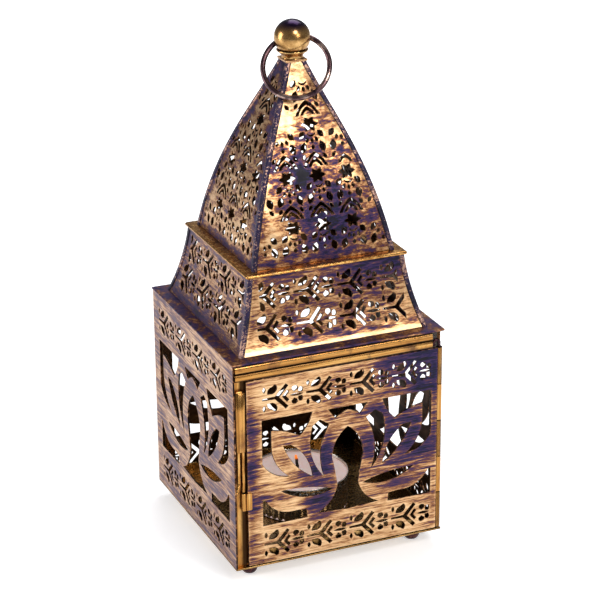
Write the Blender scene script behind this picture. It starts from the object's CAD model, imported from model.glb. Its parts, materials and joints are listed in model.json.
import json
from math import ceil, cos, exp, hypot, pi, radians, sin

import bmesh
import bpy
import numpy as np
from mathutils import Matrix, Vector, noise
from mathutils.geometry import delaunay_2d_cdt


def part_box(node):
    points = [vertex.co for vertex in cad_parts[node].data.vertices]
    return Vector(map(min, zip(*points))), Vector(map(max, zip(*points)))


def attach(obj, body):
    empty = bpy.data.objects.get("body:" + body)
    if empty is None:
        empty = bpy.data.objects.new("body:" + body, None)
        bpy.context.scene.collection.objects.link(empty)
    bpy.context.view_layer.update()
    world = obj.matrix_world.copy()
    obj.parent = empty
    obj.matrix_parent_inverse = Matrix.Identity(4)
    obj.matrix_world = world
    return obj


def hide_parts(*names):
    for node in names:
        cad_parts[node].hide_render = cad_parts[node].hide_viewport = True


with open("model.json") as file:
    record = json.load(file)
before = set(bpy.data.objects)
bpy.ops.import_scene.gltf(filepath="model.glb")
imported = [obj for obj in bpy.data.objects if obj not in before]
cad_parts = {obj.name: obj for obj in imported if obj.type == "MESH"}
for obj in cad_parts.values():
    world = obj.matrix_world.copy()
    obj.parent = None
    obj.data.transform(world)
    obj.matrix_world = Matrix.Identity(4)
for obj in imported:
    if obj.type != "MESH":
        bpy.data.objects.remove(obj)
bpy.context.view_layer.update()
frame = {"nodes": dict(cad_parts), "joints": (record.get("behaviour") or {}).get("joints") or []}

# Every length below is in millimetres; mesh data is scaled to metres when an object is made.
MM = 0.001


def node_box(name):
    lo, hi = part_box(name)
    return lo / MM, hi / MM


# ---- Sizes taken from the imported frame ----

tray_lo, tray_hi = node_box("base_tray")
deck_hi = node_box("deck_plate")[1]
left_lo, left_hi = node_box("left_panel")
door_lo, door_hi = node_box("door_panel")
rail_lo, rail_hi = node_box("top_rail")
ribs_lo, ribs_hi = node_box("roof_ribs")
rim_lo, rim_hi = node_box("tier_rim")
cup_lo, cup_hi = node_box("tealight_cup")
wax_hi = node_box("tealight_wax")[1]
ball_hi = node_box("finial_ball")[1]

HALF = tray_hi.x
SHEET = left_hi.x - left_lo.x
FLOOR_TOP = left_lo.z
PANEL_TOP = left_hi.z
FOOT_H = tray_lo.z
TIER_LOW, TIER_TOP = deck_hi.z, rim_lo.z
TIER_H = TIER_TOP - TIER_LOW
ROOF_LOW = ribs_lo.z
ROOF_H = ribs_hi.z - ribs_lo.z

# Design values of the curved faces, as in the solids
SEAM_W = 1.5
SEAM_PROUD = 0.45
TIER_FOOT_W, TIER_TOP_W, TIER_HOLLOW = 74.2, 61.0, 0.9
ROOF_FOOT_W, ROOF_NECK_W, ROOF_BULGE, NECK_HOLLOW = 55.6, 7.0, 0.5, 10.0
BAND_H = 10.2

# Signs of the lantern's corners, anticlockwise from the front left one
CORNERS = ((-1, -1), (1, -1), (1, 1), (-1, 1))


def tier_half(t):
    return TIER_FOOT_W / 2 + (TIER_TOP_W - TIER_FOOT_W) / 2 * t - 4 * TIER_HOLLOW * t * (1 - t)


def roof_half(t):
    swell = (ROOF_FOOT_W - ROOF_NECK_W) / 2 * (1 - t) * (1 + ROOF_BULGE * t)
    return ROOF_NECK_W / 2 + swell - NECK_HOLLOW * t ** 4 * (1 - t)


# ---- Outlines ----

BOW_STEP = 0.9


def bow(a, b, off, steps):
    """Points from a to b, without b, along a bow whose middle stands off to the left of travel."""
    dx, dy = b[0] - a[0], b[1] - a[1]
    length = hypot(dx, dy)
    sx, sy = -dy / length, dx / length
    made = []
    for i in range(steps):
        t = i / steps
        o = 4 * off * t * (1 - t)
        made.append((a[0] + t * dx + o * sx, a[1] + t * dy + o * sy))
    return made


def outline(knots, sx=1.0, sy=1.0):
    """Closed outline through knots (x, y, off), scaled by sx and sy."""
    made = []
    for i, k in enumerate(knots):
        n = knots[(i + 1) % len(knots)]
        span = hypot((n[0] - k[0]) * sx, (n[1] - k[1]) * sy)
        steps = max(4, min(16, round(span / BOW_STEP))) if k[2] else 1
        made += bow(k, n, k[2], steps)
    return [(x * sx, y * sy) for x, y in made]


def moved(points, dx, dy, turn=0.0):
    c, s = cos(radians(turn)), sin(radians(turn))
    return [(x * c - y * s + dx, x * s + y * c + dy) for x, y in points]


def mirrored(points):
    return [(-x, y) for x, y in reversed(points)]


def flipped(points):
    return [(x, -y) for x, y in reversed(points)]


def straight(points):
    return [(x, y, 0) for x, y in points]


LOTUS_LEFT = [
    [(-99, 123, 0), (-41, 123, 2.4), (-55.8, 98, -1.8), (-88.5, 109.6, 0), (-88.5, 92, -5.4),
     (-68, 52.6, 4.8), (-99, 72.5, 0)],
    [(-75, 89.5, 0), (-66, 89, 5.6), (-41, 47, 5)],
    [(-32.4, 112, 0), (-21.6, 105, -7), (-27.5, 44, 8.5), (-41, 106, 0)],
    [(-78, 37, 2.8), (-17.5, 28.5, 8.2)],
    [(-99, 30, 0), (-96.5, 29.5, -6.5), (-60, 10.8, 0), (-48.6, 10, 0), (-47.4, 0, 0), (-99, 0, 0)],
]
LOTUS_MIDDLE = [
    [(0, 98.5, -4.8), (-18.4, 65, 0.4), (-12.2, 31, 5), (-36.5, 2.5, 0), (0, 0.5, 0),
     (36.5, 2.5, 5), (12.2, 31, 0.4), (18.4, 65, -4.8)],
    [(-23, 122, 0), (-14.5, 110.5, 0.8), (0, 118, 0.8), (14.5, 110.5, 0), (23, 122, 0)],
]
SPRIG_UPPER = [
    [(8, 15, 3.6), (8, 29, 3.6)],
    [(15, 11, 4), (27, 27, 6), (38, 24, 3), (27, 10.5, 0)],
    [(77, 7, 0), (71, 13, 3.5), (79, 21, 3), (84, 12, 0)],
    [(86, 5, 0), (86, 12, 3), (95, 15, 2), (94, 4, 0)],
]
SPRIG_MIDDLE = [
    straight([(4, 2), (33, 3), (57, 29), (63, 24), (42, 0), (63, -24), (57, -29), (33, -3), (4, -2)]),
    straight([(49, 0), (60, 14), (65, 9), (57.5, 0), (65, -9), (60, -14)]),
    [(67, 0, 3.2), (97, 0, 3.2)],
]


def extent(points, axis):
    values = [p[axis] for p in points]
    return min(values), max(values)


SPRIGS = 4
# Narrowest slice of a sprig that is still cut out at a row's end
LEAST_LEFT = 1.5


def clipped(points, limit, sign):
    """The part of an outline on one side of a limit along X: above it with sign 1, below it with -1."""
    made = []
    for i, b in enumerate(points):
        a = points[i - 1]
        if (sign * a[0] > sign * limit) != (sign * b[0] > sign * limit):
            made.append((limit, a[1] + (limit - a[0]) / (b[0] - a[0]) * (b[1] - a[1])))
        if sign * b[0] > sign * limit:
            made.append(b)
    return made


def sprig_row(pitch, start, mid_z, left, right):
    """Sprigs repeated along X from start, cut off straight at both limits."""
    sx, sy = pitch / 100, BAND_H / 60
    upper = [outline(knots, sx, sy) for knots in SPRIG_UPPER]
    unit = upper + [flipped(points) for points in upper]
    unit += [outline(knots, sx, sy) for knots in SPRIG_MIDDLE]
    made = []
    for i in range(ceil((right - start) / pitch)):
        for points in unit:
            opening = moved(points, start + i * pitch, mid_z)
            low, high = extent(opening, 0)
            if high > left + LEAST_LEFT and low < right - LEAST_LEFT:
                made.append(clipped(clipped(opening, left, 1), right, -1))
    return made


def lotus(width, high, mid_x, low_z):
    left, middle = ([outline(knots, width / 200, high / 124) for knots in half]
                    for half in (LOTUS_LEFT, LOTUS_MIDDLE))
    made = [half for points in left for half in (points, mirrored(points))] + middle
    return [moved(points, mid_x, low_z) for points in made]


def face_piercing(width, mid_x, low_band, window, window_h, high_band):
    """Two bands of four sprigs with a lotus window between them; heights are above the floor."""
    made = lotus(width, window_h, mid_x, FLOOR_TOP + window)
    left, right = mid_x - width / 2, mid_x + width / 2
    for z in (low_band, high_band):
        made += sprig_row(width / SPRIGS, left, FLOOR_TOP + z + BAND_H / 2, left, right)
    return made


def bud(length, width, x=0.0, y=0.0, turn=0.0):
    """Leaf of a length and width about (x, y), upright before it is turned."""
    return moved(outline([(0, -length / 2, width / 2), (0, length / 2, width / 2)]), x, y, turn)


def star(r_out, r_in, flat, swell):
    """Star of six points, flattened to a share of its width, with slightly swollen rays."""
    knots = []
    for i in range(12):
        r = r_in if i % 2 else r_out
        a = pi * i / 6
        knots.append((r * cos(a), flat * r * sin(a), -swell))
    return outline(knots)


def arch(z, outer_w, outer_top, inner_w, inner_top, swell):
    """Pointed arch slit between an outer and an inner outline that start at height z."""
    return outline([(-outer_w, z, swell), (0, outer_top, swell), (outer_w, z, 0),
                    (inner_w, z, -0.8 * swell), (0, inner_top, -0.8 * swell), (-inner_w, z, 0)])


LATTICE_W, LATTICE_H = 11.7, 17.2
LATTICE_FOOT, LATTICE_SHIFT = 13.0, 0.9
ROOF_BORDER, ROOF_SOLID_LOW, ROOF_SOLID_TOP = 0.25, 2.6, 5


def lattice_cell():
    """Openings about one star: slit, petals and a bud under it, arches over it, leaves at its sides."""
    made = [star(3.4, 2.0, 0.8, 0.1), bud(1.7, 1.4, 0, -7.75),
            outline([(-1.7, -2.85, -0.75), (1.7, -2.85, 0), (1.55, -3.4, 0.85), (-1.55, -3.4, 0)]),
            arch(3, 4.8, 8.1, 3.6, 6.6, 0.6), arch(3.1, 2.9, 6, 1.7, 4.6, 0.35)]
    for a in (-20, 0, 20):
        turn = radians(a)
        made.append(bud(1.9, 1.2, 5.5 * sin(turn), -5.5 * cos(turn), a))
    for side in (-1, 1):
        made += [bud(3.2, 2.2, side * 3.7, -3.4, side * 45), bud(4.0, 2.6, side * 3.75, -7.7, side * 20),
                 bud(2.4, 1.4, side * 4.1, 6.3, side * 41)]
    return made


def on_roof(points):
    """True where an opening leaves a solid border on the roof's face."""
    low, high = extent(points, 1)
    if low <= ROOF_SOLID_LOW or high >= ROOF_H - ROOF_SOLID_TOP:
        return False
    return min(roof_half(z / ROOF_H) - abs(x) for x, z in points) > SEAM_W + ROOF_BORDER


def roof_piercing():
    """Cells about star openings, with solid rosettes left between neighbouring stars."""
    cell = lattice_cell()
    made = [moved(points, LATTICE_SHIFT + col * LATTICE_W, LATTICE_FOOT + row * LATTICE_H)
            for row in range(4) for col in range(-2, 3) for points in cell]
    return [points for points in made if on_roof(points)]


# ---- Mesh makers ----

def in_scene(name, data):
    obj = bpy.data.objects.new(name, data)
    bpy.context.scene.collection.objects.link(obj)
    return obj


def add_object(name, vertices, faces, body, replaces=()):
    """Smooth piece that rides on a body; vertices are in millimetres."""
    mesh = bpy.data.meshes.new(name)
    mesh.from_pydata([tuple(c * MM for c in v) for v in vertices], [], faces)
    mesh.validate()
    mesh.update()
    mesh.shade_smooth()
    obj = in_scene(name, mesh)
    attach(obj, body)
    if replaces:
        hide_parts(*replaces)
    return obj


def signed_area(loop):
    return sum(x * y2 - x2 * y for (x, y), (x2, y2) in zip(loop, loop[1:] + loop[:1])) / 2


def shifted(loop, d):
    """The loop moved d to the left of its travel, with long mitres cut short."""
    n = len(loop)
    made = []
    for i in range(n):
        p, q, r = Vector(loop[i - 1]), Vector(loop[i]), Vector(loop[(i + 1) % n])
        a, b = (q - p).normalized(), (r - q).normalized()
        na, nb = Vector((-a.y, a.x)), Vector((-b.y, b.x))
        m = na + nb
        if m.length < 1e-6:
            m = na
        m.normalize()
        made.append(tuple(q + m * (d / max(0.55, m.dot(na)))))
    return made


def inside_count(points, loops):
    """For each point, how many loops hold it."""
    pts = np.array(points)
    count = np.zeros(len(pts), int)
    for loop in loops:
        a = np.array(loop)
        lo, hi = a.min(0), a.max(0)
        near = np.where(((pts > lo) & (pts < hi)).all(1))[0]
        if not len(near):
            continue
        b = np.roll(a, -1, 0)
        x, y = pts[near, 0][:, None], pts[near, 1][:, None]
        crosses = (a[:, 1] > y) != (b[:, 1] > y)
        dy = np.where(b[:, 1] == a[:, 1], 1e-12, b[:, 1] - a[:, 1])
        hit = crosses & (x < a[:, 0] + (y - a[:, 1]) / dy * (b[:, 0] - a[:, 0]))
        count[near] += hit.sum(1) % 2
    return count


def loop_distance(points, loop):
    """How far each point stands from a closed loop."""
    a = np.array(loop)
    d = np.roll(a, -1, 0) - a
    rel = np.array(points)[:, None, :] - a[None]
    t = np.clip((rel * d).sum(2) / np.maximum((d * d).sum(1), 1e-12), 0, 1)
    return np.hypot(*(rel - t[..., None] * d).transpose(2, 0, 1)).min(1)


def far_points(points, loops, gap):
    """The points that stand at least gap from every loop."""
    pts = np.array(points)
    keep = np.ones(len(pts), bool)
    for loop in loops:
        a = np.array(loop)
        lo, hi = a.min(0) - gap, a.max(0) + gap
        near = np.where(keep & ((pts > lo) & (pts < hi)).all(1))[0]
        if len(near):
            keep[near[loop_distance(pts[near], loop) < gap]] = False
    return pts[keep]


# Rims of the sheets are rounded by RIM. At an opening, ROLLED of that is cut back into the metal.
RIM = 0.13
ROLLED = 0.07
# Material slots of a sheet
FACE, CUT, BACK = 0, 1, 2


def sheet_triangles(loops, lo, hi, grid):
    """Triangulates the metal between the loops, with free points on a staggered grid.

    Returns the points, the triangles and the point that each loop point has become."""
    us = np.arange(lo[0] + grid / 2, hi[0], grid)
    vs = np.arange(lo[1] + grid / 2, hi[1], grid)
    cells = [(u + (grid / 4 if j % 2 else -grid / 4), v) for j, v in enumerate(vs) for u in us]
    free = far_points(cells, loops, grid * 0.45)
    free = free[inside_count(free, loops) == 1]
    points, edges = [], []
    for loop in loops:
        first = len(points)
        points += [Vector(p) for p in loop]
        edges += [(first + i, first + (i + 1) % len(loop)) for i in range(len(loop))]
    points += [Vector(p) for p in free]
    found, _, triangles, origin, _, _ = delaunay_2d_cdt(points, edges, [], 0, 1e-6)
    where = {s: i for i, sources in enumerate(origin) for s in sources}
    centres = [tuple(sum((found[i] for i in t), Vector((0, 0))) / 3) for t in triangles]
    solid = inside_count(centres, loops) == 1
    return found, [t for t, keep in zip(triangles, solid) if keep], where


def pierced_sheet(name, outer, openings, thick, place, body, replaces, grid=1.6):
    """Sheet with rounded rims along its edge and its openings.

    outer and openings are loops in sheet coordinates (u, v); place(u, v, w) gives a point in the
    row frame, with w = 0 on the outer face and w = -thick on the inner one."""
    if signed_area(outer) < 0:
        outer = outer[::-1]
    openings = [o if signed_area(o) < 0 else o[::-1] for o in openings]
    loops = [shifted(outer, RIM)] + [shifted(o, ROLLED) for o in openings]
    walls = [outer] + [shifted(o, ROLLED - RIM) for o in openings]
    lo, hi = np.array(outer).min(0), np.array(outer).max(0)
    found, triangles, where = sheet_triangles(loops, lo, hi, grid)
    count = len(found)
    vertices = [place(p.x, p.y, 0.0) for p in found] + [place(p.x, p.y, -thick) for p in found]
    rim_count = sum(len(loop) for loop in loops)
    at_rim = {where[i] for i in range(rim_count)}
    inward = loop_distance([tuple(p) for p in found], outer)
    faces, kinds = [], []
    for t in triangles:
        if (found[t[1]] - found[t[0]]).cross(found[t[2]] - found[t[0]]) < 0:
            t = t[::-1]
        faces += [tuple(t), tuple(count + i for i in reversed(t))]
        kinds += [FACE, BACK]
    start = 0
    for loop, wall in zip(loops, walls):
        n = len(loop)
        ring = [where[start + i] for i in range(n)]
        rings = [ring]
        for out, depth in ((0.71, RIM * 0.29), (1.0, RIM), (1.0, thick - RIM)):
            base = len(vertices)
            vertices += [place(u + (a - u) * out, v + (b - v) * out, -depth)
                         for (u, v), (a, b) in zip(loop, wall)]
            rings.append(list(range(base, base + n)))
        rings.append([count + i for i in ring])
        for upper, lower in zip(rings, rings[1:]):
            for i in range(n):
                j = (i + 1) % n
                faces.append((upper[i], lower[i], lower[j], upper[j]))
        kinds += [CUT] * (n * (len(rings) - 1))
        start += n
    obj = add_object(name, vertices, faces, body, replaces)
    mesh = obj.data
    mesh.polygons.foreach_set("material_index", kinds)
    flat = np.zeros(len(mesh.vertices))
    side = np.zeros(len(mesh.vertices))
    flat[:2 * count] = [i % count not in at_rim for i in range(2 * count)]
    side[:2 * count] = np.tile(inward, 2)
    for title, values in (("flat", flat), ("side", side)):
        mesh.attributes.new(title, "FLOAT", "POINT").data.foreach_set("value", values)
    weighted = obj.modifiers.new("even_normals", "WEIGHTED_NORMAL")
    weighted.mode = "FACE_AREA"
    weighted.weight = 60
    return obj


def rounded_section(width, depth, r, steps=4):
    """Rounded rectangle centred on the origin, anticlockwise."""
    made = []
    for cx, cy, a0 in ((1, 1, 0), (-1, 1, 90), (-1, -1, 180), (1, -1, 270)):
        for i in range(steps + 1):
            a = radians(a0 + 90 * i / steps)
            made.append((cx * (width / 2 - r) + r * cos(a), cy * (depth / 2 - r) + r * sin(a)))
    return made


def sweep(name, rings, body, replaces=(), closed_path=False):
    """Skin through rings of points of equal count, capped at its ends unless the path is closed."""
    n = len(rings[0])
    vertices = [tuple(p) for ring in rings for p in ring]
    faces = []
    last = len(rings) if closed_path else len(rings) - 1
    for r in range(last):
        a, b = r * n, (r + 1) % len(rings) * n
        for i in range(n):
            j = (i + 1) % n
            faces.append((a + i, a + j, b + j, b + i))
    if not closed_path:
        faces.append(tuple(reversed(range(n))))
        faces.append(tuple(range((len(rings) - 1) * n, len(rings) * n)))
    return add_object(name, vertices, faces, body, replaces)


def wire(name, path, radius, body, replaces=(), sides=16):
    """Round wire along a list of points; its domed ends reach no further than the path's ends."""
    path = [Vector(p) for p in path]
    last = len(path) - 1
    dome = 0.55 * radius
    side = (path[1] - path[0]).orthogonal().normalized()
    rings = []
    for i, point in enumerate(path):
        along = (path[min(i + 1, last)] - path[max(i - 1, 0)]).normalized()
        side = (side - along * side.dot(along)).normalized()
        other = along.cross(side)
        inward = 1 if i == 0 else -1 if i == last else 0
        circle = []
        for k in range(sides):
            a = 2 * pi * k / sides
            circle.append((side * cos(a) + other * sin(a)) * radius)
        level = [[point + along * inward * dome + q for q in circle]]
        for bend in (22, 45, 68, 86) if inward else ():
            c, s = cos(radians(bend)), sin(radians(bend))
            level.append([point + along * inward * dome * (1 - s) + q * c for q in circle])
        rings += reversed(level) if inward > 0 else level
    return sweep(name, rings, body, replaces)


def lathe(name, profile, centre, body, replaces=(), sides=64, ripple=None, closed=False):
    """Turned piece about +Z through centre. profile is (radius, height) from bottom to top."""
    rings = []
    for k in range(sides):
        a = 2 * pi * k / sides
        ring = []
        for i, (r, z) in enumerate(profile):
            rr = r + (ripple(i, a) if ripple else 0)
            ring.append((centre[0] + rr * cos(a), centre[1] + rr * sin(a), centre[2] + z))
        rings.append(ring)
    n = len(profile)
    vertices = [p for ring in rings for p in ring]
    faces = []
    for k in range(sides):
        a, b = k * n, (k + 1) % sides * n
        for i in range(n if closed else n - 1):
            j = (i + 1) % n
            faces.append((a + i, b + i, b + j, a + j))
    obj = add_object(name, vertices, faces, body, replaces)
    weld = bmesh.new()
    weld.from_mesh(obj.data)
    bmesh.ops.remove_doubles(weld, verts=weld.verts, dist=1e-8)
    bmesh.ops.recalc_face_normals(weld, faces=weld.faces)
    weld.to_mesh(obj.data)
    weld.free()
    return obj


def crease(obj, angle=35):
    """Sharp edges where faces meet at more than angle degrees."""
    b = bmesh.new()
    b.from_mesh(obj.data)
    for e in b.edges:
        if len(e.link_faces) == 2 and e.calc_face_angle(0) > radians(angle):
            e.smooth = False
    b.to_mesh(obj.data)
    b.free()
    return obj


def rounded_node(name, width, segments=3):
    """Softens the sharp edges of a CAD node that stays as it is."""
    obj = frame["nodes"][name]
    weld = obj.modifiers.new("weld", "WELD")
    weld.merge_threshold = 1e-6
    bevel = obj.modifiers.new("soft_edges", "BEVEL")
    bevel.width = width * MM
    bevel.segments = segments
    bevel.limit_method = "ANGLE"
    bevel.angle_limit = radians(40)
    bevel.harden_normals = False
    obj.data.shade_smooth()
    weighted = obj.modifiers.new("even_normals", "WEIGHTED_NORMAL")
    weighted.keep_sharp = False
    return obj


# ---- Materials ----

class Paint:
    """A Principled material with short helpers for its nodes. Texture space is in millimetres."""

    def __init__(self, name):
        self.material = bpy.data.materials.new(name)
        self.material.use_nodes = True
        self.tree = self.material.node_tree
        self.tree.nodes.clear()
        out = self.tree.nodes.new("ShaderNodeOutputMaterial")
        self.bsdf = self.tree.nodes.new("ShaderNodeBsdfPrincipled")
        self.tree.links.new(self.bsdf.outputs[0], out.inputs[0])
        coords = self.tree.nodes.new("ShaderNodeTexCoord")
        self.mm = self.vector("SCALE", {0: coords.outputs["Object"], 3: 1 / MM})

    def node(self, kind, inputs=None, **props):
        made = self.tree.nodes.new("ShaderNode" + kind)
        for key, value in props.items():
            setattr(made, key, value)
        for key, value in (inputs or {}).items():
            self.feed(made.inputs[key], value)
        return made

    def feed(self, socket, value):
        if isinstance(value, bpy.types.NodeSocket):
            self.tree.links.new(value, socket)
        else:
            socket.default_value = (*value, 1.0) if socket.type == "RGBA" else value

    def math(self, operation, a, b=0.0, clamp=False):
        made = self.node("Math", {0: a, 1: b}, operation=operation)
        made.use_clamp = clamp
        return made.outputs[0]

    def vector(self, operation, inputs, output=0):
        return self.node("VectorMath", inputs, operation=operation).outputs[output]

    def noise(self, scale, detail=4.0, rough=0.6, distortion=0.0, seed=0.0):
        offset = (seed * 7.3, seed * 3.1, seed * 5.7)
        place = self.node("Mapping", {"Vector": self.mm, "Scale": scale, "Location": offset}).outputs[0]
        return self.node("TexNoise", {"Vector": place, "Scale": 1.0, "Detail": detail, "Roughness": rough,
                                      "Distortion": distortion}).outputs["Fac"]

    def spread(self, value, low, high, to_low=0.0, to_high=1.0):
        made = self.node("MapRange", {0: value, 1: low, 2: high, 3: to_low, 4: to_high})
        made.interpolation_type = "SMOOTHSTEP"
        return made.outputs[0]

    def blend(self, factor, a, b):
        return self.node("Mix", {0: factor, 6: a, 7: b}, data_type="RGBA").outputs[2]

    def ramp(self, value, stops):
        made = self.node("ValToRGB", {0: value})
        elements = made.color_ramp.elements
        while len(elements) < len(stops):
            elements.new(0.5)
        for element, (place, colour) in zip(elements, stops):
            element.position = place
            element.color = (*colour, 1.0)
        return made.outputs[0]

    def attribute(self, title):
        return self.node("Attribute", attribute_name=title).outputs["Fac"]

    def patch(self, centre, reach, amount):
        """A soft blot: amount at its centre, nothing beyond reach. Both are (x, y, z)."""
        away = self.vector("SUBTRACT", {0: self.mm, 1: centre})
        away = self.vector("MULTIPLY", {0: away, 1: tuple(1 / r for r in reach)})
        return self.spread(self.vector("LENGTH", {0: away}, "Value"), 0.15, 1.0, amount, 0.0)

    def height(self):
        return self.node("SeparateXYZ", {0: self.mm}).outputs[2]

    def bump(self, height, distance, strength=0.5, **below):
        return self.node("Bump", {"Height": height, "Distance": distance * MM, "Strength": strength,
                                  **below}).outputs[0]

    def finish(self, **values):
        for key, value in values.items():
            self.feed(self.bsdf.inputs[key.replace("_", " ")], value)
        return self.material


def rgb(r, g, b):
    """Linear colour of an sRGB triple."""
    return tuple(((c / 255 + 0.055) / 1.055) ** 2.4 if c > 10 else c / 255 / 12.92 for c in (r, g, b))


GOLD_PALE = rgb(230, 192, 146)
GOLD_TAN = rgb(200, 154, 108)
GOLD_DEEP = rgb(142, 94, 62)
RUSSET = rgb(92, 58, 58)
MAUVE = rgb(66, 42, 80)
INDIGO = rgb(28, 21, 70)
NIGHT = rgb(13, 10, 24)
UMBER = rgb(40, 24, 14)
HAZE = rgb(112, 94, 104)
PATINA = [(0.08, NIGHT), (0.24, INDIGO), (0.38, MAUVE), (0.49, RUSSET), (0.59, GOLD_DEEP), (0.74, GOLD_TAN),
          (0.95, GOLD_PALE)]


def painted_sheet(name, seed, base=0.62, patches=(), streak=(0.075, 0.075, 1.1), border=0.0, haze=0.0):
    """Gold dry-brushed over indigo, as a ramp from dark glaze to bare gold.

    base is the usual place on that ramp and patches move it locally: (centre, reach, amount) in millimetres.
    border darkens the last millimetres along the sheet's edge."""
    p = Paint(name)
    broad = p.noise((0.05, 0.05, 0.08), 3.0, 0.55, 0.5, seed)
    drag = p.noise(streak, 5.0, 0.66, 0.3, seed + 2)
    hair = p.noise(tuple(s * 3.3 for s in streak), 3.0, 0.7, 0.2, seed + 5)
    share = p.math("MULTIPLY", broad, 0.85)
    for part, weight in ((drag, 1.6), (hair, 0.8)):
        share = p.math("ADD", share, p.math("MULTIPLY", part, weight))
    # Half of the three weights is the sum's usual value.
    share = p.math("ADD", share, base - 1.625)
    for centre, reach, amount in patches:
        share = p.math("ADD", share, p.patch(centre, reach, amount))
    if border:
        share = p.math("SUBTRACT", share, p.spread(p.attribute("side"), 1.2, 4.5, border, 0.0))
    worn = p.spread(p.attribute("flat"), 0.0, 0.8, 0.10, 0.0)
    share = p.math("ADD", share, worn, True)
    colour = p.ramp(share, PATINA)
    if haze:
        colour = p.blend(haze, colour, HAZE)
    speck = p.noise((1.9, 1.9, 2.4), 2.0, 0.6, 0.0, seed + 17)
    colour = p.blend(p.spread(speck, 0.64, 0.74, 0.0, 0.6), colour, NIGHT)
    smear = p.noise((0.25, 0.25, 0.8), 3.0, 0.6, 0.0, seed + 21)
    rough = p.math("ADD", p.spread(share, 0.3, 0.7, 0.34, 0.24), p.math("MULTIPLY", smear, 0.2))
    height = p.math("ADD", p.math("MULTIPLY", drag, 0.6), p.math("MULTIPLY", hair, 0.5))
    relief = p.bump(height, 0.10, 0.6)
    dents = p.noise((0.13, 0.13, 0.13), 2.0, 0.5, 0.0, seed + 25)
    relief = p.bump(dents, 0.9, Normal=relief)
    return p.finish(Base_Color=colour, Metallic=p.spread(share, 0.3, 0.6, 0.35, 0.94), Roughness=rough,
                    Specular_IOR_Level=0.3, Normal=relief)


def toned(name, grain, stops, metallic, gloss, relief, distance, strength=0.5, **more):
    """Material whose colour and gloss follow one noise. relief is the noise under its bumps, or None
    for the same one; gloss is the roughness from its darkest to its lightest tone."""
    p = Paint(name)
    tone = p.noise(*grain)
    height = p.noise(*relief) if relief else tone
    colour = p.ramp(tone, stops)
    rough = p.spread(tone, 0.3, 0.7, *gloss)
    return p.finish(Base_Color=colour, Metallic=metallic, Roughness=rough,
                    Normal=p.bump(height, distance, strength), **more)


def warm_gold(name, seed, grain=(0.04, 1.6, 1.6), shine=0.22, dark=0.3, groove=None):
    """Polished warm gold, drawn along one direction, with dark stain in places.

    groove lists stained bands as (axis, place, half width)."""
    p = Paint(name)
    drawn = p.noise(grain, 4.0, 0.65, 0.0, seed)
    stain = p.noise((0.12, 0.12, 0.12), 4.0, 0.65, 0.6, seed + 3)
    colour = p.ramp(drawn, [(0.25, rgb(118, 74, 32)), (0.5, rgb(186, 132, 68)), (0.75, rgb(230, 186, 116))])
    colour = p.blend(p.spread(stain, 0.52, 0.72, 0.0, dark), colour, rgb(60, 34, 44))
    if groove:
        axes = p.node("SeparateXYZ", {0: p.mm}).outputs
        for axis, level, width in groove:
            away = p.math("ABSOLUTE", p.math("SUBTRACT", axes[axis], level))
            colour = p.blend(p.spread(away, 0.3 * width, width, 0.95, 0.0), colour, UMBER)
    rough = p.math("ADD", p.math("MULTIPLY", drawn, 0.16), shine - 0.08)
    return p.finish(Base_Color=colour, Metallic=0.97, Roughness=rough,
                    Normal=p.bump(p.noise(tuple(g * 0.7 for g in grain), 3.0, 0.6, 0, seed + 7), 0.12))


def seam_paint(name, seed):
    """Indigo seam rubbed through to gold flecks along its crest."""
    p = Paint(name)
    fleck = p.noise((1.1, 1.1, 1.5), 4.0, 0.7, 0.4, seed)
    long = p.noise((0.08, 0.08, 0.1), 3.0, 0.6, 0.2, seed + 4)
    share = p.math("ADD", p.math("MULTIPLY", fleck, 0.7), p.math("MULTIPLY", long, 0.45))
    gold = p.spread(share, 0.59, 0.68)
    under = p.ramp(long, [(0.35, rgb(15, 10, 36)), (0.52, rgb(34, 23, 62)), (0.68, rgb(68, 40, 56))])
    colour = p.blend(gold, under, rgb(190, 150, 130))
    return p.finish(Base_Color=colour, Metallic=p.spread(gold, 0, 1, 0.2, 0.9),
                    Roughness=p.spread(gold, 0, 1, 0.4, 0.3), Specular_IOR_Level=0.3,
                    Normal=p.bump(fleck, 0.25, 0.6))


BRONZE = (rgb(30, 18, 28), rgb(58, 34, 40), rgb(112, 72, 62))
WORN_BRONZE = (rgb(28, 18, 32), rgb(96, 70, 72), rgb(222, 192, 176))


def dark_bronze(name, seed, grain=(0.5, 0.5, 0.5), tones=BRONZE):
    """Bare dark bronze, worn lighter in places."""
    return toned(name, (grain, 4.0, 0.6, 0.2, seed), list(zip((0.3, 0.52, 0.74), tones)), 0.9, (0.30, 0.2),
                 ((2.2, 2.2, 2.2), 3.0, 0.6, 0, seed + 1), 0.05)


# Rims of openings keep dark paint, rubbed through to gold in places; the sheets' backs are brown bronze.
CUT_EDGE = toned("cut_edge_gold", ((0.5, 0.5, 0.5), 4.0, 0.65, 0.2, 1),
                 [(0.34, NIGHT), (0.48, UMBER), (0.60, GOLD_DEEP), (0.72, GOLD_PALE)], 0.9, (0.5, 0.3),
                 ((3, 3, 3), 3.0), 0.05)
INNER = toned("inner_bronze", ((0.08, 0.08, 0.14), 4.0, 0.6, 0.4, 2),
              [(0.3, rgb(26, 16, 10)), (0.52, rgb(66, 42, 20)), (0.72, rgb(118, 82, 44))], 0.85, (0.5, 0.34),
              ((0.3, 0.3, 0.9), 3.0, 0.6, 0, 2), 0.25)


def dress(obj, *paints):
    if obj.data.materials:
        obj.data.materials.clear()
    for paint in paints:
        obj.data.materials.append(paint)
    return obj


# ---- Box sheets ----

def turned(turn):
    """Turns the front to another side, by degrees about +Z."""
    return Matrix.Rotation(radians(turn), 3, "Z")


def dent(u, v, seed, depth=0.16, size=15.0):
    """Slow unevenness of hand-worked sheet."""
    return depth * noise.noise(Vector((u / size, v / size, seed)))


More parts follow.
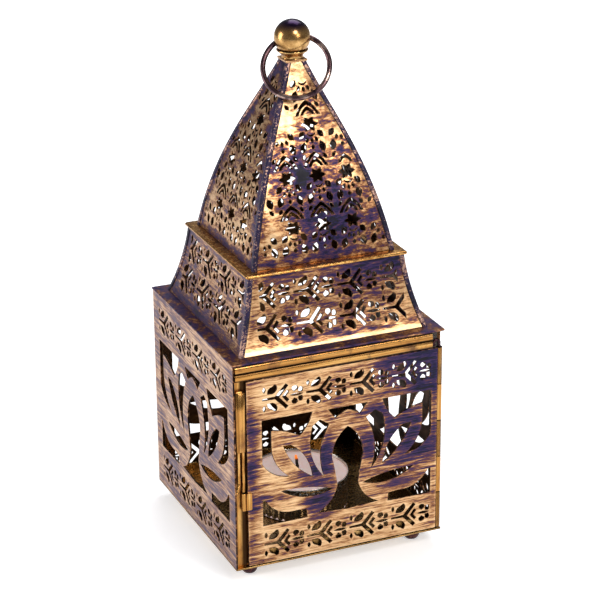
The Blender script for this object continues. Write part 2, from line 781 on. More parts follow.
def edge_fade(u, v, lo, hi, run=6.0):
    away = min(u - lo[0], hi[0] - u, v - lo[1], hi[1] - v)
    return max(0.0, min(1.0, away / run))


def flat_place(turn, lo, hi, seed):
    """Places a sheet on one side of the box, slightly dented inwards."""
    spin = turned(turn)

    def place(u, v, w):
        shake = dent(u, v, seed) * edge_fade(u, v, lo, hi)
        return spin @ Vector((u, -(HALF + w + shake * 0.5 - abs(shake) * 0.5), v))
    return place


def rectangle(u0, v0, u1, v1, step=6.0):
    """Rectangle with points about every step along its sides."""
    made = []
    corners = [(u0, v0), (u1, v0), (u1, v1), (u0, v1)]
    for i, (x, y) in enumerate(corners):
        x2, y2 = corners[(i + 1) % 4]
        n = max(1, round(hypot(x2 - x, y2 - y) / step))
        made += [(x + (x2 - x) * k / n, y + (y2 - y) * k / n) for k in range(n)]
    return made


SIDE_FIELD = dict(width=73, mid_x=0, low_band=3.5, window=17, window_h=46, high_band=66.3)
DOOR_FIELD = dict(width=69, mid_x=3.1, low_band=2.9, window=15.9, window_h=43, high_band=61.6)


def side_sheet(name, turn, u0, u1, seed, paint):
    lo, hi = (u0, FLOOR_TOP), (u1, PANEL_TOP)
    obj = pierced_sheet(name + "_sheet", rectangle(*lo, *hi), face_piercing(**SIDE_FIELD), SHEET,
                        flat_place(turn, lo, hi, seed), "lantern", (name,))
    return dress(obj, paint, CUT_EDGE, INNER)


right_lo = node_box("right_panel")[0]
back_lo, back_hi = node_box("back_panel")
WIDE_STREAK = (0.13, 0.13, 1.0)
side_sheet("left_panel", -90, -HALF, HALF, 3,
           painted_sheet("painted_left", 3, 0.58, [((-HALF, -HALF, 45), (9, 5, 50), -0.12)], haze=0.3))
side_sheet("right_panel", 90, right_lo.y, HALF, 5, painted_sheet("painted_right", 5, 0.70, [
    ((HALF, 26, 74), (9, 34, 26), -0.46), ((HALF, -20, 36), (9, 22, 26), -0.38),
    ((HALF, 30, 16), (9, 26, 16), -0.30)], WIDE_STREAK))
side_sheet("back_panel", 180, back_lo.x, back_hi.x, 7, painted_sheet("painted_back", 7, 0.70, [
    ((28, HALF, 66), (32, 9, 30), -0.46), ((-18, HALF, 44), (20, 9, 22), -0.40),
    ((-34, HALF, 14), (26, 9, 18), -0.32)], WIDE_STREAK))

# ---- Door ----

HINGE = Vector(frame["joints"][0]["pos_m"]) / MM
KNUCKLE_R = HALF - HINGE.x
BORE_R = KNUCKLE_R - 0.6
KNUCKLES = 5
PITCH = (door_hi.z - door_lo.z) / KNUCKLES
LEAF_RIGHT = HINGE.x - KNUCKLE_R + 0.25

door_paint = painted_sheet("painted_door", 11, 0.66, [
    ((34, -HALF, 76), (28, 9, 20), -0.50), ((24, -HALF, 48), (30, 9, 28), -0.36),
    ((-9, -HALF, 44), (11, 9, 17), -0.44), ((-8, -HALF, 26), (11, 9, 10), -0.48),
    ((-36, -HALF, 50), (5, 9, 48), -0.24), ((-22, -HALF, 76), (24, 9, 10), 0.10),
    ((-20, -HALF, 60), (12, 9, 6), 0.20), ((0, -HALF, 8), (50, 9, 9), 0.12)], (0.09, 0.09, 1.25))
leaf_lo, leaf_hi = (door_lo.x, door_lo.z), (LEAF_RIGHT, door_hi.z)
door_sheet = pierced_sheet("door_sheet", rectangle(*leaf_lo, *leaf_hi), face_piercing(**DOOR_FIELD), SHEET,
                           flat_place(0, leaf_lo, leaf_hi, 11), "door", ("door_panel",))
dress(door_sheet, door_paint, CUT_EDGE, INNER)


HEM_W, HEM_DEEP, HEM_CORNER = 1.5, 1.38, 0.75


def turn_path(points, r, steps=6):
    """Path with its inner corners rounded by r."""
    pts = [Vector(p) for p in points]
    made = [pts[0]]
    for i in range(1, len(pts) - 1):
        a, b = (pts[i - 1] - pts[i]).normalized(), (pts[i + 1] - pts[i]).normalized()
        p, q = pts[i] + a * r, pts[i] + b * r
        for k in range(steps + 1):
            t = k / steps
            made.append(p * (1 - t) ** 2 + pts[i] * 2 * t * (1 - t) + q * t * t)
    return made + [pts[-1]]


def hem_bead():
    """Folded edge along the door's free side, top and bottom, swept with a rounded section."""
    y = -HALF + HEM_DEEP / 2 + 0.01
    inset = HEM_W / 2
    x0, x1 = door_lo.x + inset, LEAF_RIGHT - 1.0
    z0, z1 = door_lo.z + inset, door_hi.z - inset
    section = rounded_section(HEM_W, HEM_DEEP, 0.5)
    rings = []
    dense = turn_path([(x1, z0, 0), (x0, z0, 0), (x0, z1, 0), (x1, z1, 0)], HEM_CORNER)
    for i, p in enumerate(dense):
        a, b = dense[max(i - 1, 0)], dense[min(i + 1, len(dense) - 1)]
        t = (b - a).normalized()
        side = Vector((-t.y, t.x))
        rings.append([(p.x + s * side.x, y - d, p.y + s * side.y) for s, d in section])
    return sweep("door_hem", rings, "door")


HEM_EDGES = [(2, door_hi.z - HEM_W, 0.35), (2, door_lo.z + HEM_W, 0.35), (0, door_lo.x + HEM_W, 0.4)]
hem_gold = warm_gold("hem_gold", 15, (0.05, 1.2, 0.6), 0.24, 0.7, HEM_EDGES)
dress(hem_bead(), hem_gold)


def ring_profile(r_in, r_out, z0, z1, lip):
    """Closed profile of a short tube with rounded lips."""
    return [(r_in + lip, z0), (r_out - lip, z0), (r_out, z0 + lip), (r_out, z1 - lip),
            (r_out - lip, z1), (r_in + lip, z1), (r_in, z1 - lip), (r_in, z0 + lip)]


knuckle_gold = warm_gold("knuckle_gold", 17, (1.2, 1.2, 0.05), dark=0.6)
for index in range(KNUCKLES):
    z0 = door_lo.z + index * PITCH + 0.1
    z1 = z0 + PITCH - 0.2
    body = "door" if index % 2 else "lantern"
    tube = lathe("knuckle_%d" % (index + 1), ring_profile(BORE_R, KNUCKLE_R, z0, z1, 0.15),
                 (HINGE.x, HINGE.y, 0), body, sides=40, closed=True)
    dress(crease(tube), knuckle_gold)

# ---- Rail, deck, posts and floor ----


def rail_section():
    """Outline (depth forward of the box, height) of the rail with its two ridges."""
    low, high = rail_lo.z, rail_hi.z
    proud = -HALF - rail_lo.y
    r = (high - low) / 4
    made = [(-SHEET, low + 0.05)]
    for ridge in range(2):
        mid = low + r + 2 * r * ridge
        for i in range(15):
            a = pi * i / 14
            made.append((max(0.06, proud * sin(a) ** 0.75), mid - (r - 0.06) * cos(a)))
    made.append((-SHEET, high - 0.05))
    return made


def top_rail():
    section = rail_section()
    x0, x1 = rail_lo.x, rail_hi.x
    rings = []
    steps = 40
    for i in range(steps + 1):
        x = x0 + (x1 - x0) * i / steps
        rings.append([(x, -(HALF + d + (0.03 * noise.noise(Vector((x / 9, z, 4))) if d > 0 else 0)), z)
                      for d, z in section])
    return sweep("rail_moulding", rings, "lantern", ("top_rail",))


RAIL_MID = (rail_lo.z + rail_hi.z) / 2
rail_gold = warm_gold("rail_gold", 21, (0.03, 1.4, 1.4), 0.24, 0.75,
                      [(2, RAIL_MID, 0.95), (2, rail_lo.z, 1.1), (2, rail_hi.z, 0.7)])
dress(crease(top_rail(), 60), rail_gold)

deck_paint = painted_sheet("painted_deck", 23, 0.34, streak=(0.2, 0.2, 0.9))
dress(rounded_node("deck_plate", 0.22), deck_paint)
POST_TONES = (rgb(24, 15, 9), rgb(60, 38, 20), rgb(120, 84, 46))
post_paint = dark_bronze("post_bronze", 25, (0.6, 0.6, 0.08), POST_TONES)
for name in ("hinge_stile", "back_left_post", "back_right_post"):
    dress(rounded_node(name, 0.12, 2), post_paint)
stile_paint = warm_gold("stile_gold", 26, (0.9, 0.9, 0.05), 0.3, 0.7, [(0, -0.9 * HALF, 1.9)])
dress(rounded_node("latch_stile", 0.12, 2), stile_paint)


def floor_plate():
    p = Paint("floor_gold")
    swirl = p.noise((0.05, 0.05, 0.05), 3.0, 0.5, 0.8, 27)
    fine = p.noise((0.6, 0.9, 0.6), 4.0, 0.6, 0.2, 28)
    colour = p.ramp(swirl, [(0.3, rgb(88, 66, 34)), (0.52, rgb(146, 112, 64)), (0.72, rgb(198, 160, 104))])
    colour = p.blend(p.spread(fine, 0.6, 0.8, 0.0, 0.2), colour, UMBER)
    return p.finish(Base_Color=colour, Metallic=0.95, Roughness=p.spread(fine, 0.3, 0.7, 0.2, 0.34),
                    Normal=p.bump(swirl, 1.2, 0.4))


dress(rounded_node("base_tray", 0.18, 2), floor_plate())

# ---- Feet ----

FOOT_REACH = 0.8 * HALF
FOOT_ARC = 62
foot_paint = dark_bronze("foot_bronze", 31)
foot_r = node_box("feet")[1].x - FOOT_REACH


def foot_profile():
    """Bun foot: a flat underside and top with a round flank between them."""
    profile = [(0.0, 0.0)]
    for i in range(17):
        a = radians(-FOOT_ARC + 2 * FOOT_ARC * i / 16)
        z = FOOT_H * (0.5 + 0.5 * sin(a) / sin(radians(FOOT_ARC)))
        profile.append((foot_r * (0.42 + 0.58 * cos(a)), z))
    return profile + [(0.0, FOOT_H)]


for index, (sx, sy) in enumerate(CORNERS):
    foot = lathe("bun_foot_%d" % (index + 1), foot_profile(), (sx * FOOT_REACH, sy * FOOT_REACH, 0),
                 "lantern", ("feet",), sides=40)
    dress(crease(foot, 60), foot_paint)

# ---- Latch ----

guide_lo, guide_hi = node_box("latch_guide")
keeper_lo, keeper_hi = node_box("latch_keeper")
bolt_hi = node_box("latch_bolt")[1]
WIRE_R = BORE_R - 0.05
LEG_SPACE = 1.75
TUBE_R = (guide_hi.y - guide_lo.y) / 2
GUIDE_Y = (guide_hi.y + guide_lo.y) / 2
RIGHT_LEG = guide_hi.x - TUBE_R
LEFT_LEG = RIGHT_LEG - LEG_SPACE


def stadium(r, steps=12):
    """Flat tube outline round both legs, anticlockwise from the front right."""
    made = []
    for cx, a0 in ((RIGHT_LEG, -90), (LEFT_LEG, 90)):
        for i in range(steps + 1):
            a = radians(a0 + 180 * i / steps)
            made.append((cx + r * cos(a), GUIDE_Y + r * sin(a)))
    return made


def flat_tube(name, z0, z1):
    """Flat tube with rounded lips."""
    rings = [[(x, y, z) for x, y in stadium(r)] for r, z in ring_profile(BORE_R, TUBE_R, z0, z1, 0.14)]
    return sweep(name, rings, "lantern", ("latch_guide",), closed_path=True)


tube_gold = warm_gold("tube_gold", 33, (1.6, 1.6, 0.035), dark=0.45, shine=0.18)
dress(crease(flat_tube("latch_guide_tube", guide_lo.z, guide_hi.z), 50), tube_gold)


def keeper_tube():
    r_out = RIGHT_LEG - keeper_lo.x
    obj = lathe("latch_keeper_tube", ring_profile(BORE_R, r_out, keeper_lo.z, keeper_hi.z, 0.12),
                (RIGHT_LEG, GUIDE_Y, 0), "door", ("latch_keeper",), sides=40, closed=True)
    return dress(crease(obj), tube_gold)


def keeper_tab():
    """Tab that runs from the keeper tube onto the front of the door's edge."""
    root = RIGHT_LEG + 0.75
    section = rounded_section(keeper_hi.x - root, 0.5, 0.2)
    mid_x = (keeper_hi.x + root) / 2
    rings = []
    for z, grow in ((keeper_lo.z + 0.1, 0.8), (keeper_lo.z + 0.3, 1.0), (keeper_hi.z - 0.3, 1.0),
                    (keeper_hi.z - 0.1, 0.8)):
        rings.append([(mid_x + x * grow, -HALF - 0.25 + y * grow, z) for x, y in section])
    obj = sweep("latch_keeper_tab", rings, "door")
    return dress(crease(obj, 50), tube_gold)


keeper_tube()
keeper_tab()


PULL_Z = keeper_hi.z + 4.6
BOLT_TIP = keeper_hi.z + 0.3


def bolt_path():
    """Centre line of the hairpin bolt, from the long leg's tip round the top to the finger pull."""
    top = bolt_hi.z - WIRE_R - LEG_SPACE / 2
    path = [Vector((RIGHT_LEG, GUIDE_Y, BOLT_TIP + (top - BOLT_TIP) * k / 8)) for k in range(9)]
    for k in range(1, 12):
        a = pi * k / 12
        path.append(Vector(((RIGHT_LEG + LEFT_LEG) / 2 + LEG_SPACE / 2 * cos(a), GUIDE_Y,
                            top + LEG_SPACE / 2 * sin(a))))
    path += [Vector((LEFT_LEG, GUIDE_Y, top + (PULL_Z - top) * k / 8)) for k in range(9)]
    turn, bend_r, angle, run = radians(232), 2.0, 48, 3.2
    for k in range(1, 9):
        a = radians(angle * k / 8)
        out = bend_r - bend_r * cos(a)
        path.append(Vector((LEFT_LEG + out * cos(turn), GUIDE_Y + out * sin(turn),
                            PULL_Z - bend_r * sin(a))))
    a = radians(angle)
    step = Vector((sin(a) * cos(turn), sin(a) * sin(turn), -cos(a)))
    end = path[-1]
    path += [end + step * run * k / 4 for k in range(1, 5)]
    return path


bolt = wire("latch_bolt_wire", bolt_path(), WIRE_R, "bolt", ("latch_bolt",))
bolt_gold = warm_gold("bolt_bronze", 35, (1.1, 1.1, 0.2), dark=0.85, shine=0.26)
dress(bolt, bolt_gold)

pin_lo = node_box("hinge_pin")[0]


def pin_path():
    curl_r, curl_turn = 1.2, 240
    top = rail_lo.z + 1.2
    path = [Vector((HINGE.x, HINGE.y, pin_lo.z + (top - pin_lo.z) * k / 10)) for k in range(11)]
    for k in range(1, 17):
        a = radians(curl_turn * k / 16)
        path.append(Vector((HINGE.x - curl_r + curl_r * cos(a), HINGE.y, top + curl_r * sin(a))))
    return path


pin = wire("hinge_pin_wire", pin_path(), WIRE_R, "lantern", ("hinge_pin",))
dress(pin, dark_bronze("pin_bronze", 37))

# ---- Tier and roof ----


def curved_place(turn, low, high, half_at, seed, flare=0.0, bulge=0.0):
    """Places a sheet on a curved face. flare turns its foot outwards, bulge rounds its middle."""
    spin = turned(turn)

    def place(u, v, w):
        t = max(0.0, min(1.0, v / high))
        slope = (half_at(min(t + 0.01, 1)) - half_at(max(t - 0.01, 0))) / (0.02 * high)
        lift = 1 / hypot(1, slope)
        edge = min(v, high - v, half_at(t) - abs(u)) / 5.0
        shake = dent(u, v, seed, 0.22, 11.0) * max(0.0, min(1.0, edge))
        across = 1 - (u / half_at(t)) ** 2
        off = (w + shake - 0.11 * max(0.0, min(1.0, edge)) + flare * exp(-v / 0.9)
               + bulge * across * min(1.0, v / 8, (high - v) / 8))
        rise = off * slope * lift if 0.3 < v < high - 0.3 else 0
        return spin @ Vector((u, -(half_at(t) + off * lift), low + v - rise))
    return place


def face_outline(high, half_at, inset, steps=36):
    """Outline of a curved face, drawn in at its sides to leave room for the seams."""
    right = [(half_at(i / steps) - inset, i / steps * high) for i in range(steps + 1)]
    left = [(-x, z) for x, z in reversed(right)]
    base = rectangle(-right[0][0], 0, right[0][0], high, 4.0)
    bottom = [p for p in base if p[1] == 0][1:-1]
    return bottom + right + left


def four_faces(part, low, high, half_at, openings, streak, paints, **shape):
    """The four faces of the tier or roof. paints lists (seed, base, patches, border, haze) of each."""
    for (side, turn), (seed, base, patches, border, haze) in zip(SIDES, paints):
        name = part + "_" + side
        sheet = pierced_sheet(name + "_sheet", face_outline(high, half_at, SEAM_W), openings, SHEET,
                              curved_place(turn, low, high, half_at, seed, **shape), "lantern",
                              (name,), grid=1.3)
        paint = painted_sheet("painted_" + name, seed, base, patches, streak, border, haze)
        dress(sheet, paint, CUT_EDGE, INNER)


SIDES = (("front", 0), ("left", -90), ("back", 180), ("right", 90))
TIER_ROWS = ((0.31, -29, 29.8), (0.726, -27, 27.8))
TIER_START = -31.6
TIER_PITCH = DOOR_FIELD["width"] / SPRIGS
tier_openings = [points for level, left, right in TIER_ROWS
                 for points in sprig_row(TIER_PITCH, TIER_START, TIER_H * level, left, right)]
four_faces("tier", TIER_LOW, TIER_H, tier_half, tier_openings, (0.16, 0.16, 1.1), (
    (41, 0.54, (((-36, -HALF, TIER_LOW), (26, 30, 14), 0.36), ((16, -HALF, TIER_TOP), (34, 30, 19), -0.36),
                ((-20, -HALF, TIER_TOP), (22, 30, 8), -0.16), ((33, -HALF, TIER_LOW + 8), (7, 30, 20), 0.16),
                ((0, -HALF, TIER_LOW), (70, 40, 2.4), 0.6)), 0, 0),
    (43, 0.56, (), 0.2, 0.2),
    (45, 0.66, (((18, HALF, TIER_TOP), (34, 30, 19), -0.38),
                ((-30, HALF, TIER_LOW), (18, 30, 18), -0.26)), 0, 0),
    (47, 0.66, (((HALF, 14, TIER_TOP), (30, 34, 19), -0.38),
                ((HALF, -26, TIER_LOW), (30, 18, 18), -0.26)), 0, 0),
), flare=0.35)
four_faces("roof", ROOF_LOW, ROOF_H, roof_half, roof_piercing(), (0.2, 0.2, 0.55), (
    (51, 0.52, (((3, -25, ROOF_LOW + 13), (20, 30, 20), -0.36), ((-5, -25, ROOF_LOW + 31), (6, 30, 9), -0.40),
                ((-19, -25, ROOF_LOW + 20), (5, 30, 22), 0.24), ((-8, -20, ROOF_LOW + 50), (8, 30, 14), 0.40),
                ((-2, -20, ROOF_LOW + 44), (7, 30, 6), -0.18), ((6, -20, ROOF_LOW + 42), (5, 30, 18), 0.10),
                ((-1, -12, ROOF_LOW + 68), (14, 20, 22), 0.34)), 0, 0),
    (53, 0.68, (), 0.30, 0.10),
    (55, 0.66, (((-3, 25, ROOF_LOW + 13), (20, 30, 20), -0.38),
                ((5, 25, ROOF_LOW + 34), (7, 30, 12), -0.36)), 0, 0),
    (57, 0.66, (((25, 4, ROOF_LOW + 15), (30, 20, 18), -0.38),
                ((25, -4, ROOF_LOW + 38), (30, 7, 12), -0.34)), 0, 0),
), bulge=0.45)


def corner_seams(name, low, high, half_at, steps, paint, replaces):
    """Four folded seams that follow the corners between the curved faces."""
    size = SEAM_W + SEAM_PROUD
    shift = (SEAM_W - SEAM_PROUD) / 2
    section = rounded_section(size, size, 0.55)
    for index, turn in enumerate((0, 90, 180, 270)):
        spin = turned(turn)
        rings = []
        for i in range(steps + 1):
            t = i / steps
            h = half_at(t) - shift
            swell = 1 + 0.03 * noise.noise(Vector((t * high / 4, index * 9.1, high)))
            rings.append([spin @ Vector((-h + x * swell, -h + y * swell, low + t * high))
                          for x, y in section])
        seam = sweep("%s_%d" % (name, index + 1), rings, "lantern", replaces)
        dress(crease(seam, 55), paint)


tier_indigo, roof_indigo = seam_paint("tier_seam_indigo", 61), seam_paint("roof_rib_indigo", 63)
corner_seams("tier_seam", TIER_LOW, TIER_H, tier_half, 24, tier_indigo, ("tier_seams",))
corner_seams("roof_rib", ROOF_LOW, ROOF_H, roof_half, 60, roof_indigo, ("roof_ribs",))


def square_frame(name, half_w, inner, z0, z1, body, replaces):
    """Square frame swept round its middle with a rounded outer edge and mitred corners."""
    r = (z1 - z0) / 2
    section = [(inner, z0 + 0.05), (half_w, z0)]
    for i in range(1, 10):
        a = pi * i / 10
        section.append((half_w + r * sin(a), z0 + r - r * cos(a)))
    section += [(half_w, z1), (inner, z1 - 0.05)]
    rings = []
    corner_steps = 5
    for corner, (sx, sy) in enumerate(((1, 1), (-1, 1), (-1, -1), (1, -1))):
        for k in range(corner_steps):
            a = radians(90 * corner + 90 * k / (corner_steps - 1))
            rings.append([])
            for d, z in section:
                base = min(d, half_w - 0.3)
                rings[-1].append((base * sx + (d - base) * cos(a), base * sy + (d - base) * sin(a), z))
    return sweep(name, rings, body, replaces, closed_path=True)


rim_half = rim_hi.x - (rim_hi.z - rim_lo.z) / 2
rim = square_frame("tier_rim_frame", rim_half, (ROOF_FOOT_W - 8) / 2, rim_lo.z, rim_hi.z, "lantern",
                   ("tier_rim",))
dress(crease(rim, 50), warm_gold("rim_gold", 65, (0.5, 0.5, 1.2), dark=0.7, shine=0.26))

# ---- Finial and ring ----

cap = rounded_node("roof_cap", 0.15)
dress(cap, painted_sheet("painted_cap", 67, 0.6))
collar_lo, collar_hi = node_box("neck_collar")


def neck_collar():
    """Turned cup under the ball, dished on top."""
    h = collar_hi.z - collar_lo.z
    outside = [(1.4, 0.0), (4.1, 0.0), (4.2, 0.12), (4.05, 0.6), (4.15, 1.05), (4.45, 1.5), (4.85, 1.95),
               (5.25, 2.3), (5.75, 2.62), (5.88, 2.78)]
    dish = [(5.86, h - 0.12), (5.78, h), (5.6, h - 0.05), (5.1, h - 0.72), (4.2, h - 1.35), (1.4, h - 2.1)]
    return lathe("neck_collar_cup", outside + dish, (0, 0, collar_lo.z), "lantern",
                 ("neck_collar",), sides=72, ripple=lambda i, a: 0.03 * sin(7 * a + i), closed=True)


ball_centre = Vector((0, 0, (ball_hi.z - ball_hi.x)))


def ball_gold(name, seed, low, high):
    """Gold that turns purple towards the top of the piece."""
    p = Paint(name)
    blot = p.noise((0.28, 0.28, 0.28), 4.0, 0.6, 0.4, seed)
    gold = p.ramp(blot, [(0.3, rgb(116, 80, 42)), (0.52, rgb(178, 136, 82)), (0.72, rgb(220, 180, 120))])
    climb = p.math("ADD", p.height(), p.math("MULTIPLY", blot, 4.0))
    tint = p.spread(climb, low, high)
    colour = p.blend(tint, gold, rgb(40, 24, 52))
    return p.finish(Base_Color=colour, Metallic=0.95, Roughness=p.spread(blot, 0.3, 0.7, 0.27, 0.18),
                    Normal=p.bump(p.noise((1.3, 1.3, 1.3), 3.0, 0.6, 0, seed + 1), 0.05, 0.5))


dress(crease(neck_collar(), 50), ball_gold("collar_gold", 69, collar_hi.z + 2, collar_hi.z + 9))
ball = frame["nodes"]["finial_ball"]
dress(ball, ball_gold("ball_gold", 71, ball_centre.z + 4.4, ball_centre.z + 7.6))
dress(frame["nodes"]["finial_stem"], dark_bronze("stem_bronze", 73))


def hanging_ring():
    """Ring of slightly uneven wire, with the CAD ring's plane and size."""
    node = frame["nodes"]["hanging_ring"]
    lo, hi = node_box("hanging_ring")
    centre = (lo + hi) / 2
    points = np.array([v.co for v in node.data.vertices]) / MM - np.array(centre)
    _, axes = np.linalg.eigh(points.T @ points)
    normal = Vector(axes[:, 0]).normalized()
    reach = np.linalg.norm(points, axis=1).max()
    wire_r = np.abs(points @ np.array(normal)).max()
    r = reach - wire_r
    u = normal.orthogonal().normalized()
    v = normal.cross(u)
    rings = []
    turns, sides = 120, 20
    for k in range(turns):
        a = 2 * pi * k / turns
        out = u * cos(a) + v * sin(a)
        fat = wire_r * (1 + 0.015 * noise.noise(Vector((cos(a) * 2, sin(a) * 2, 5))) - 0.01)
        rings.append([centre + out * (r + fat * cos(2 * pi * s / sides))
                      + normal * fat * sin(2 * pi * s / sides) for s in range(sides)])
    return sweep("hanging_ring_wire", rings, "ring", ("hanging_ring",), closed_path=True)


dress(hanging_ring(), dark_bronze("ring_bronze", 75, (0.17, 0.17, 0.17), WORN_BRONZE))

# ---- Tealight ----

cup_mid = ((cup_lo.x + cup_hi.x) / 2, (cup_lo.y + cup_hi.y) / 2)
CUP_R = (cup_hi.x - cup_lo.x) / 2
CUP_H = cup_hi.z - cup_lo.z
WAX_TOP = wax_hi.z - cup_lo.z
CUP_WALL = 0.4


def tealight_cup():
    """Pressed foil cup with a fluted wall and a rolled rim."""
    flutes = 44
    wall = [(0.0, 0.0), (CUP_R * 0.6, 0.0), (CUP_R - 1.0, 0.02), (CUP_R - 0.5, 0.35)]
    outer = [(CUP_R - 0.32, z) for z in np.linspace(1.2, CUP_H - 1.4, 8)]
    lip = [(CUP_R - 0.3, CUP_H - 1.0), (CUP_R - 0.02, CUP_H - 0.7), (CUP_R, CUP_H - 0.35),
           (CUP_R - 0.2, CUP_H), (CUP_R - CUP_WALL, CUP_H - 0.3)]
    inner = [(CUP_R - CUP_WALL - 0.02, z) for z in np.linspace(CUP_H - 1.2, 1.2, 6)]
    base = [(CUP_R - 1.2, CUP_WALL), (0.0, CUP_WALL)]
    profile = wall + outer + lip + inner + base
    first, last = len(wall), len(wall) + len(outer) - 1

    def ripple(i, a):
        return 0.16 * sin(flutes * a) * (1 if first <= i <= last else 0)
    return lathe("tealight_foil_cup", profile, (*cup_mid, cup_lo.z), "tealight",
                 ("tealight_cup",), sides=flutes * 6, ripple=ripple)


def tealight_wax():
    """Wax with a meniscus at the wall and a melted dish round the wick."""
    r = CUP_R - CUP_WALL - 0.05
    profile = [(0.0, CUP_WALL + 0.05), (r, CUP_WALL + 0.05), (r, WAX_TOP)]
    for i in range(25):
        t = 1 - i / 24
        rim = 0.35 * exp(-(1 - t) * r / 0.7)
        dish = -0.45 * exp(-(t * r / 6.0) ** 2)
        profile.append((t * (r - 0.02), WAX_TOP - 0.35 + rim + dish))
    obj = lathe("tealight_wax_fill", profile, (*cup_mid, cup_lo.z), "tealight",
                ("tealight_wax",), sides=96)
    for vertex in obj.data.vertices:
        x, y, z = vertex.co / MM
        away = hypot(x - cup_mid[0], y - cup_mid[1])
        if z - cup_lo.z > WAX_TOP - 1.5 and away < r - 1:
            vertex.co.z += 0.10 * noise.noise(Vector((x / 5, y / 5, 2))) * MM
    return obj


wax_paint = toned(
    "candle_wax_pink", ((0.12, 0.12, 0.12), 4.0, 0.6, 0.5, 81),
    [(0.3, rgb(222, 198, 190)), (0.55, rgb(236, 220, 214)), (0.75, rgb(244, 234, 230))], 0.0, (0.42, 0.3),
    ((0.5, 0.5, 0.5), 3.0, 0.5, 0, 82), 0.15, Subsurface_Weight=0.25, Subsurface_Scale=2.0 * MM,
    Emission_Color=rgb(214, 184, 176), Emission_Strength=0.55)
foil_paint = toned("foil_tin", ((0.4, 0.4, 2.0), 4.0, 0.6, 0.0, 83),
                   [(0.3, rgb(170, 160, 148)), (0.7, rgb(226, 220, 210))], 1.0, (0.34, 0.2), None, 0.06)
wick_lo, wick_hi = node_box("tealight_wick")


def tealight_wick():
    """Braided wick that leans and curls at its charred tip."""
    wick_r = 0.68
    foot = Vector((cup_mid[0], cup_mid[1], wick_lo.z + 0.3))
    lean = radians(8)
    length = (wick_hi.z - wick_lo.z) / cos(lean) - 0.3
    rings = []
    steps, sides = 48, 18
    for i in range(steps + 1):
        t = i / steps
        p = foot + Vector((-sin(lean) * length * t, 0, cos(lean) * length * t * 0.985))
        p += Vector((0.0, -0.25 * t ** 3, 0))
        taper = 1 - 0.45 * max(0, (t - 0.86) / 0.14) ** 2
        ring = []
        for s in range(sides):
            a = 2 * pi * s / sides
            strand = 0.10 * sin(3 * a + t * 26) + 0.05 * noise.noise(Vector((a * 2, t * 18, 1)))
            r = wick_r * (0.86 + strand) * taper
            ring.append(p + Vector((r * cos(a), r * sin(a), 0)))
        rings.append(ring)
    return sweep("tealight_braided_wick", rings, "tealight", ("tealight_wick",))


def wick_material():
    p = Paint("wick_char")
    fibre = p.noise((2.5, 2.5, 0.9), 4.0, 0.7, 0.3, 85)
    colour = p.ramp(fibre, [(0.35, rgb(12, 9, 8)), (0.6, rgb(44, 34, 28)), (0.8, rgb(96, 78, 62))])
    glow = p.spread(p.height(), wick_hi.z - 2.2, wick_hi.z - 0.9)
    glow = p.math("MULTIPLY", glow, p.spread(fibre, 0.3, 0.6, 0.5, 1.0))
    return p.finish(Base_Color=colour, Roughness=0.9, Emission_Color=rgb(255, 120, 36),
                    Emission_Strength=p.math("MULTIPLY", glow, 1.6), Normal=p.bump(fibre, 0.2, 0.7))


dress(crease(tealight_cup(), 70), foil_paint)
dress(crease(tealight_wax(), 50), wax_paint)
dress(tealight_wick(), wick_material())

# ---- Stage: floor, light and camera ----


def stage_floor():
    """White floor just under the feet; far out it glows, so that it runs into the white background."""
    reach, gap = 1.6, 0.0002
    mesh = bpy.data.meshes.new("studio_floor")
    mesh.from_pydata([(x * reach, y * reach, 0) for x, y in CORNERS], [], [(0, 1, 2, 3)])
    obj = in_scene("studio_floor", mesh)
    p = Paint("studio_white")
    tone = p.noise((0.01, 0.01, 0.01), 2.0)
    away = p.node("VectorMath", {0: p.mm}, operation="LENGTH").outputs["Value"]
    far = p.spread(away, 200.0, 700.0, 0.0, 0.6)
    glow = p.math("MULTIPLY", far, p.node("LightPath").outputs["Is Camera Ray"])
    obj.data.materials.append(p.finish(
        Base_Color=p.ramp(tone, [(0.3, (0.86, 0.86, 0.86)), (0.7, (0.9, 0.9, 0.9))]), Roughness=0.75,
        Emission_Color=(1.0, 1.0, 1.0), Emission_Strength=p.math("ADD", glow, 0.5)))
    obj.location.z = -gap


stage_floor()

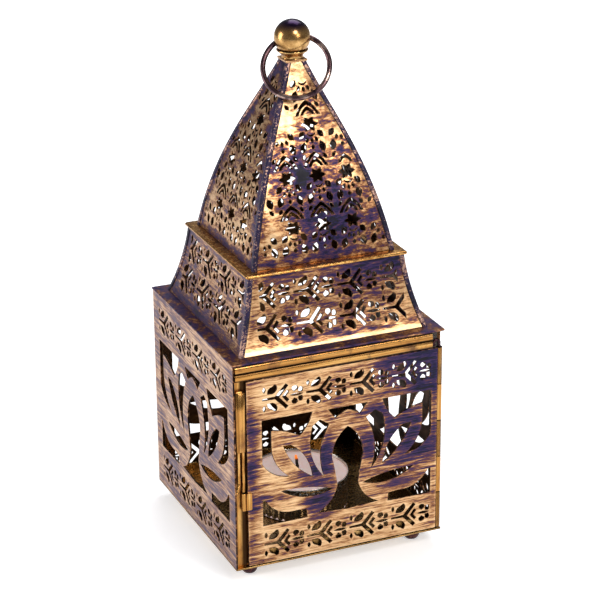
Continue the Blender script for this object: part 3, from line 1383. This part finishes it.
# The camera was fitted to the photograph; distance and aim are in widths of the box.
FOCAL = 137.8
SENSOR = 36.0
AZIMUTH, ELEVATION, ROLL = -22.94, 21.85, -0.51
AIM_RIGHT, AIM_UP = 0.024, 1.023
BOX_W = 2 * HALF
DISTANCE = 10.337 * BOX_W
a, e, roll = (radians(v) for v in (AZIMUTH, ELEVATION, ROLL))
back = Vector((sin(a) * cos(e), -cos(a) * cos(e), sin(e)))
right = Vector((cos(a), sin(a), 0))
up = back.cross(right)
target = right * AIM_RIGHT * BOX_W + Vector((0, 0, FOOT_H + AIM_UP * BOX_W))
camera_data = bpy.data.cameras.new("camera")
camera_data.lens = FOCAL
camera_data.sensor_width = SENSOR
camera = in_scene("camera", camera_data)
view_right = right * cos(roll) + up * sin(roll)
view_up = up * cos(roll) - right * sin(roll)
pose = Matrix((view_right, view_up, back)).transposed().to_4x4()
pose.translation = (target + back * DISTANCE) * MM
camera.matrix_world = pose
bpy.context.scene.camera = camera


# Middle of the lantern, in metres
LIT_POINT = Vector((0, 0, 0.1))


def soft_box(name, direction, distance, size, power, tint=(1, 1, 1)):
    """Area light aimed at the lantern; direction is in camera terms (right, up, towards the camera)."""
    data = bpy.data.lights.new(name, "AREA")
    data.shape = "RECTANGLE"
    data.size, data.size_y = size
    data.energy = power
    data.color = tint
    obj = in_scene(name, data)
    aim = (right * direction[0] + up * direction[1] + back * direction[2]).normalized()
    obj.location = LIT_POINT + aim * distance
    obj.rotation_euler = aim.to_track_quat("Z", "Y").to_euler()


soft_box("key_soft_box", (0.60, 0.13, 0.79), 0.9, (0.16, 0.22), 1.9, (1.0, 0.97, 0.93))
soft_box("high_soft_box", (0.33, 0.45, 0.83), 1.0, (0.3, 0.3), 3.2)
soft_box("left_soft_box", (-0.96, 0.16, 0.22), 0.9, (0.35, 0.5), 4.2, (0.95, 0.96, 1.0))
soft_box("top_soft_box", (0.1, 0.95, -0.2), 1.0, (0.6, 0.6), 5.0)


def studio_world():
    """White as the camera sees it; as light it is dimmer and a little cool."""
    world = bpy.data.worlds.new("studio")
    world.use_nodes = True
    bpy.context.scene.world = world
    nodes, links = world.node_tree.nodes, world.node_tree.links
    nodes.clear()
    output = nodes.new("ShaderNodeOutputWorld")
    shades = []
    for colour, strength in (((1, 1, 1, 1), 1.0), ((0.9, 0.93, 1.0, 1), 0.25)):
        shade = nodes.new("ShaderNodeBackground")
        shade.inputs[0].default_value = colour
        shade.inputs[1].default_value = strength
        shades.append(shade.outputs[0])
    seen, lit = shades
    ray = nodes.new("ShaderNodeLightPath").outputs["Is Camera Ray"]
    choose = nodes.new("ShaderNodeMixShader")
    for socket, source in enumerate((ray, lit, seen)):
        links.new(source, choose.inputs[socket])
    links.new(choose.outputs[0], output.inputs[0])


studio_world()
bpy.context.scene.view_settings.view_transform = "Standard"
